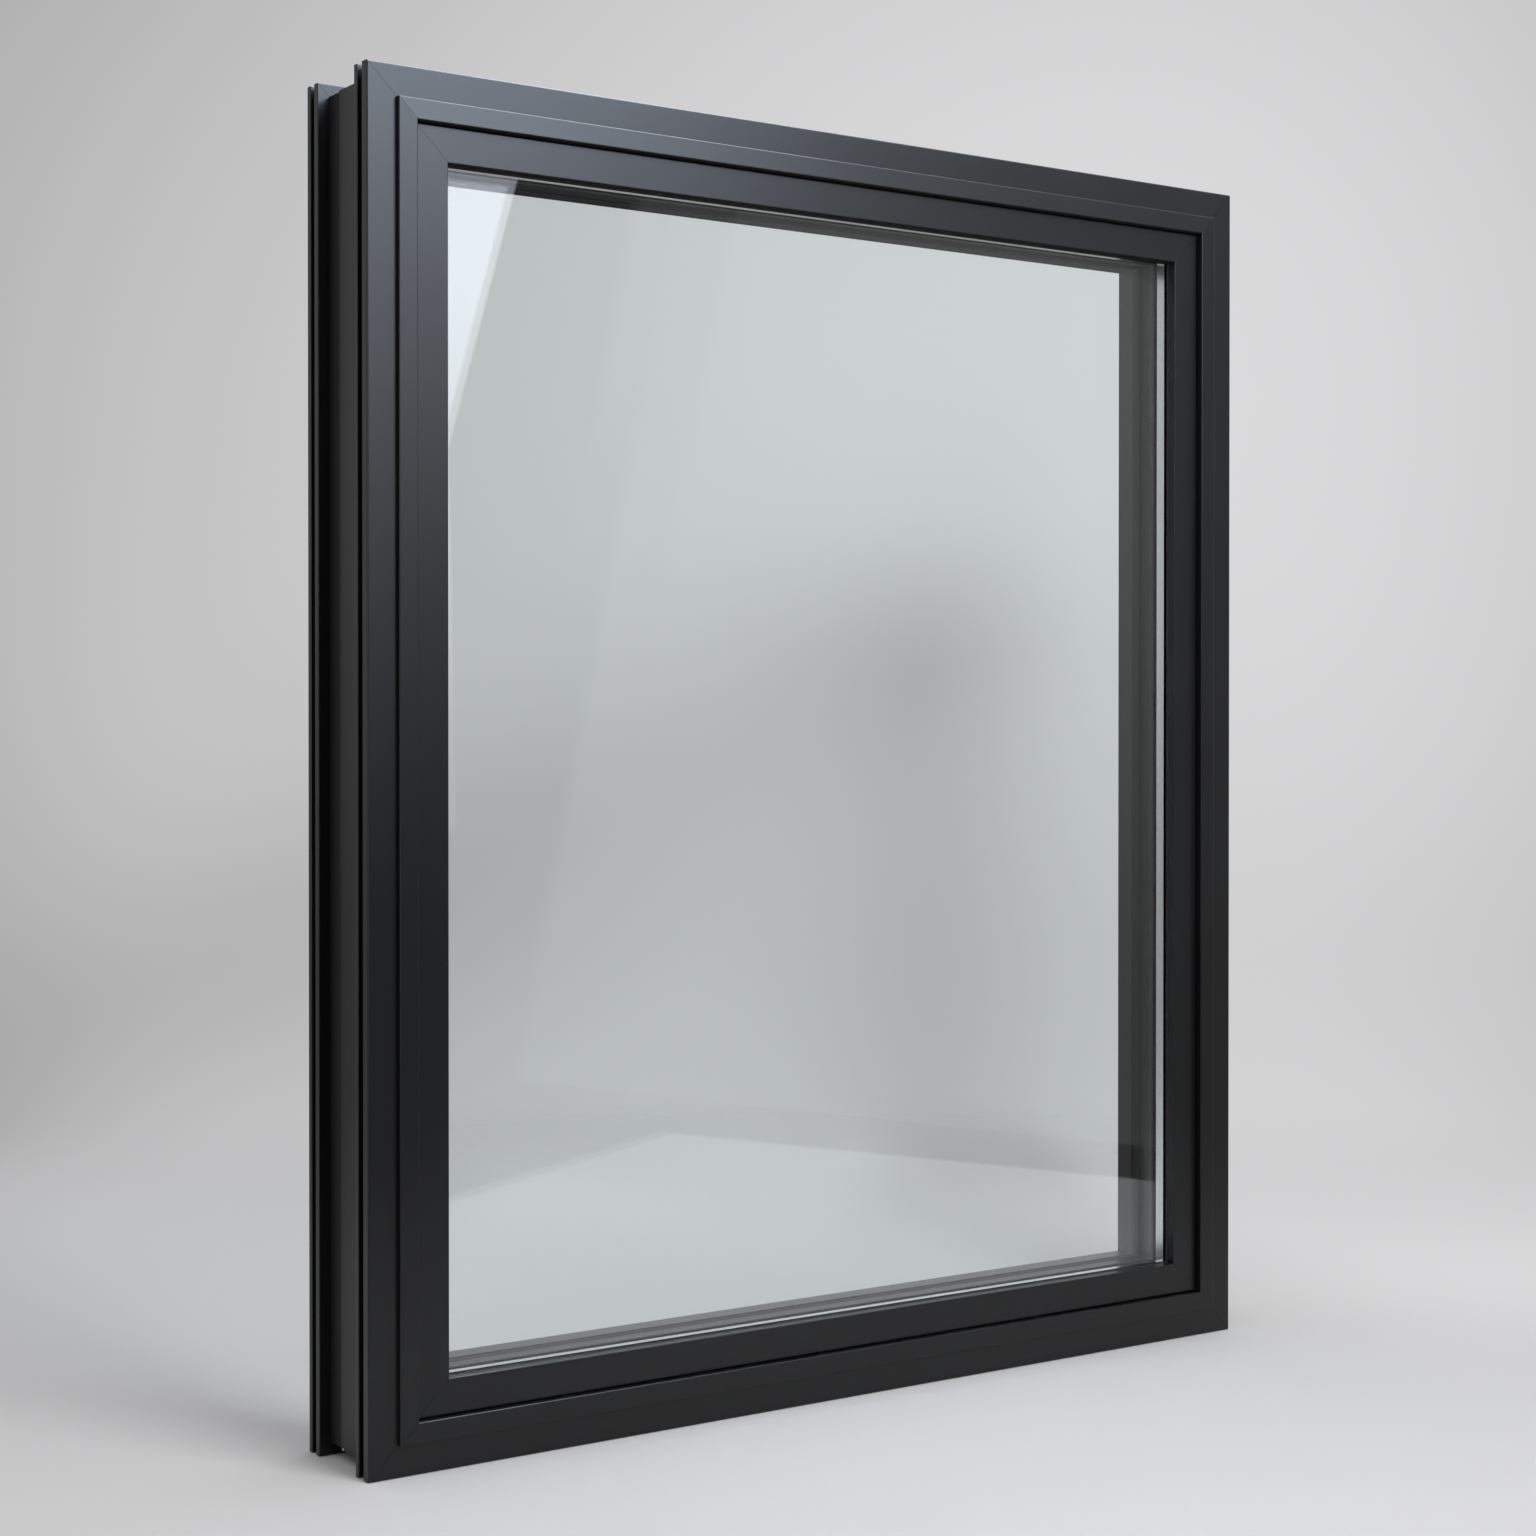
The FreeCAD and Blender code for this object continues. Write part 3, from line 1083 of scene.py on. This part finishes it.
@dataclass
class Backdrop:
    """The pale backdrop, the dimmer room that mirrors show in front, and the soft light of both.

    Places on the backdrop are shares of the distance ahead: lateral to the right and rise upwards, along a
    line of sight that is turned by some degrees from the way the window faces.
    """

    turn: float
    tint: Colour = (0.995, 0.995, 1.01)
    ahead_least: float = 0.5
    lateral_most: float = 0.3
    rise_least: float = -0.2
    rise_most: float = 0.3
    side_fade: Span = (-0.2, 0.5)
    shadow_fade: Span = (0.6, 0.9)
    room_end: Span = (-0.25, 0.15)
    foot_fade: Span = (-0.04, 0.02)
    foot_share: float = 0.6
    room_fade: Span = (-0.01, 0.02)
    room_floor: float = 0.04
    room_wall: float = 0.06
    ceiling_fade: Span = (0.3, 0.9)
    ceiling: float = 0.8
    dome: float = 0.43
    dome_rise: float = 0.24
    dome_right: float = 0.08
    level: float = 0.6854
    level_slope: float = 0.4965
    level_bend: float = -1.431
    level_twist: float = -2.661
    top_start: float = 0.12
    top_fall: float = 3.39
    dip_place: float = -0.0911
    dip_width: float = 0.112
    dip_depth: float = 0.0933
    head_slope: float = 0.4489
    head_place: float = 0.002
    head_width: float = 0.0802
    head_end: Span = (0.05, 0.14)
    head_depth: float = 0.158
    jamb_place: float = 0.0661
    jamb_width: float = 0.0753
    jamb_end: Span = (0.0182, 0.0882)
    jamb_depth: float = 0.2172
    past_lateral: float = -0.2411
    past_width: float = 0.1051
    past_rise: float = -0.12
    past_height: float = 0.2764
    past_gain: float = 0.1271

    def build(self) -> None:
        """Makes the world, with one level for the camera, one for mirrors and one for lighting things."""
        world = bpy.data.worlds.new("studio")
        bpy.context.scene.world = world
        world.cycles.sampling_method = "NONE"
        graph = Graph(world)
        across, depth, up = graph.axes(graph.node("ShaderNodeTexCoord", output="Generated"))
        bounced = graph.node("ShaderNodeLightPath", output="Is Diffuse Ray")
        glossy = graph.mirrored()
        pale = self._pale(across, depth, up)
        seen = glossy * self._mirrored(pale, depth, up) + (1.0 - glossy) * pale
        dome = up.most(0.0) * self.dome_rise + across * self.dome_right + self.dome
        strength = bounced * dome + (1.0 - bounced) * seen
        inputs = {"Color": (*self.tint, 1.0), "Strength": strength}
        graph.surface(graph.node("ShaderNodeBackground", inputs=inputs))

    def _pale(self, across: Value, depth: Value, up: Value) -> Value:
        """The backdrop's level as the camera sees it.

        Args:
            across: the part of the direction that points right.
            depth: the part that points back.
            up: the part that points up.

        Returns:
            The level.
        """
        turn = math.radians(self.turn)
        sideways = across * math.cos(turn) + depth * math.sin(turn)
        ahead = depth * math.cos(turn) - across * math.sin(turn)
        distance = ahead.most(self.ahead_least)
        lateral = (sideways / distance).most(-self.lateral_most).least(self.lateral_most)
        lateral = lateral * ahead.step(*self.side_fade)
        rise = (up / distance).most(self.rise_least).least(self.rise_most)
        shadow = self._soft_shadow(lateral, rise, ahead.step(*self.shadow_fade))
        return self._falloff(lateral, rise) * shadow

    def _mirrored(self, pale: Value, depth: Value, up: Value) -> Value:
        """What mirrors show: the backdrop behind, the dim room in front and a lighter ceiling.

        Args:
            pale: the backdrop's level.
            depth: the part of the direction that points back.
            up: the part that points up.

        Returns:
            The level.
        """
        back = depth.step(*self.room_end)
        behind = pale * (up.step(*self.foot_fade) * (1.0 - self.foot_share) + self.foot_share)
        room = up.step(*self.room_fade) * self.room_wall + self.room_floor
        return back * behind + (1.0 - back) * room + up.step(*self.ceiling_fade) * self.ceiling

    def _falloff(self, lateral: Value, rise: Value) -> Value:
        """The backdrop's level: brightest on the right, with a faint dip where wall and floor meet.

        Args:
            lateral: how far to the right, as a share of the distance.
            rise: how far up, as a share of the distance.

        Returns:
            The level, about 0.5 to 0.7.
        """
        bend = lateral * self.level_twist + self.level_bend
        level = lateral * (lateral * bend + self.level_slope) + self.level
        high = (rise - self.top_start).most(0.0)
        dip = (rise - self.dip_place).hump(self.dip_width)
        return level * (1.0 - high * high * self.top_fall - dip * self.dip_depth)

    def _soft_shadow(self, lateral: Value, rise: Value, near: Value) -> Value:
        """The window's own soft shadow on the backdrop: one band of the head and one of the right jamb.

        Past the left jamb the backdrop is a little lighter instead.

        Args:
            lateral: how far to the right, as a share of the distance.
            rise: how far up, as a share of the distance.
            near: 1 behind the window, 0 elsewhere.

        Returns:
            The share of light that is left.
        """
        head = (rise - lateral * self.head_slope - self.head_place).hump(self.head_width)
        head = head * (1.0 - lateral.step(*self.head_end)) * self.head_depth
        jamb = (lateral - self.jamb_place).hump(self.jamb_width)
        jamb = jamb * (1.0 - rise.step(*self.jamb_end)) * self.jamb_depth
        past = (lateral - self.past_lateral).hump(self.past_width)
        past = past * (rise - self.past_rise).hump(self.past_height) * self.past_gain
        return (1.0 - head * near) * (1.0 - jamb * near) * (past * near + 1.0)


@dataclass
class Studio:
    """The pale floor, the soft lights round the window and the camera."""

    camera_place: Point = (-1.4596, -2.0612, 0.6395)
    camera_pitch: float = 89.505
    camera_turn: float = -34.322
    lens: float = 61.115
    sensor: float = 36.0
    shift_up: float = -0.01272
    floor_radius: float = 6.0
    floor_drop: float = 0.5 * MM
    floor_rings: int = 24
    floor_sides: int = 96
    floor_crease: float = 60.0

    def build(self) -> None:
        """Sets up the whole studio."""
        self._camera()
        self._floor()
        Softbox().build()
        MirroredRoom().build()
        Backdrop(self.camera_turn).build()
        bpy.context.scene.view_settings.view_transform = "Standard"

    def _camera(self) -> None:
        """The camera, at the photograph's viewing angle."""
        data = bpy.data.cameras.new("camera")
        data.sensor_width = self.sensor
        data.lens = self.lens
        data.shift_y = self.shift_up
        camera = bpy.data.objects.new("camera", data)
        camera.location = self.camera_place
        camera.rotation_euler = (math.radians(self.camera_pitch), 0.0, math.radians(self.camera_turn))
        bpy.context.scene.collection.objects.link(camera)
        bpy.context.scene.camera = camera

    def _floor(self) -> None:
        """The floor: a disc of rings whose radius grows with the square of their number."""
        paper = StudioPaper("studio_paper", (0.74, 0.738, 0.742), roughness=0.9).material()
        radius = np.linspace(0.0, 1.0, self.floor_rings)[:, None] ** 2 * self.floor_radius
        turn = np.linspace(0.0, 2 * np.pi, self.floor_sides, endpoint=False)[None, :]
        drop = np.full(turn.shape, -self.floor_drop)
        points = np.stack(np.broadcast_arrays(radius * np.cos(turn), radius * np.sin(turn), drop), axis=-1)
        faces = grid_faces(self.floor_rings, self.floor_sides, False, True)
        floor = mesh_object("floor", points, faces, paper, self.floor_crease)
        log.info("floor: %.1f m across", 2 * self.floor_radius)


def main() -> None:
    """Dresses the window, adds its small fittings and sets up the studio."""
    logging.basicConfig(level=logging.INFO, format="%(name)s %(message)s")
    coat_black = (0.0036, 0.0037, 0.0041)
    coat_roughness = 0.335
    plastic_black = (0.006, 0.006, 0.0064)
    spacer_grey = (0.93, 0.93, 0.92)
    coat = PowderCoat("black_powder_coat", coat_black, coat_roughness).material()
    band_coat = PowderCoat("band_powder_coat", coat_black, coat_roughness, lean=0.033).material()
    # Copies of the coat and strip with weaker reflections are painted shade for the head's underside.
    shaded_soffit_coat = PowderCoat("shaded_soffit_powder_coat", coat_black, coat_roughness, specular=0.1).material()
    strip = Polyamide("black_polyamide", plastic_black, roughness=0.58).material()
    shaded_soffit_strip = Polyamide("shaded_soffit_polyamide", plastic_black, roughness=0.58, specular=0.05).material()
    rubber = Rubber("black_rubber", plastic_black, roughness=0.6).material()
    sealant = Rubber("edge_sealant", (0.016, 0.016, 0.017), roughness=0.5, skin=2.0 * MM).material()
    block = Polyamide("block_plastic", (0.02, 0.02, 0.022), roughness=0.5).material()
    level_spacer = SpacerMetal("level_spacer_metal", spacer_grey, roughness=0.24, run=Run.ACROSS).material()
    upright_spacer = SpacerMetal("upright_spacer_metal", spacer_grey, roughness=0.24, run=Run.UP).material()
    glass = ClearGlass("clear_glass", (0.972, 0.998, 0.994)).material()
    pin_metal = PinMetal("pin_metal", (0.42, 0.42, 0.41), roughness=0.42).material()
    OuterFrame(coat, strip, pin_metal).build()
    FixedSash(coat, band_coat, shaded_soffit_coat, strip, shaded_soffit_strip).build()
    GlassUnit(glass, level_spacer, upright_spacer, rubber, sealant, block).build()
    Studio().build()


if __name__ == "__main__":
    main()
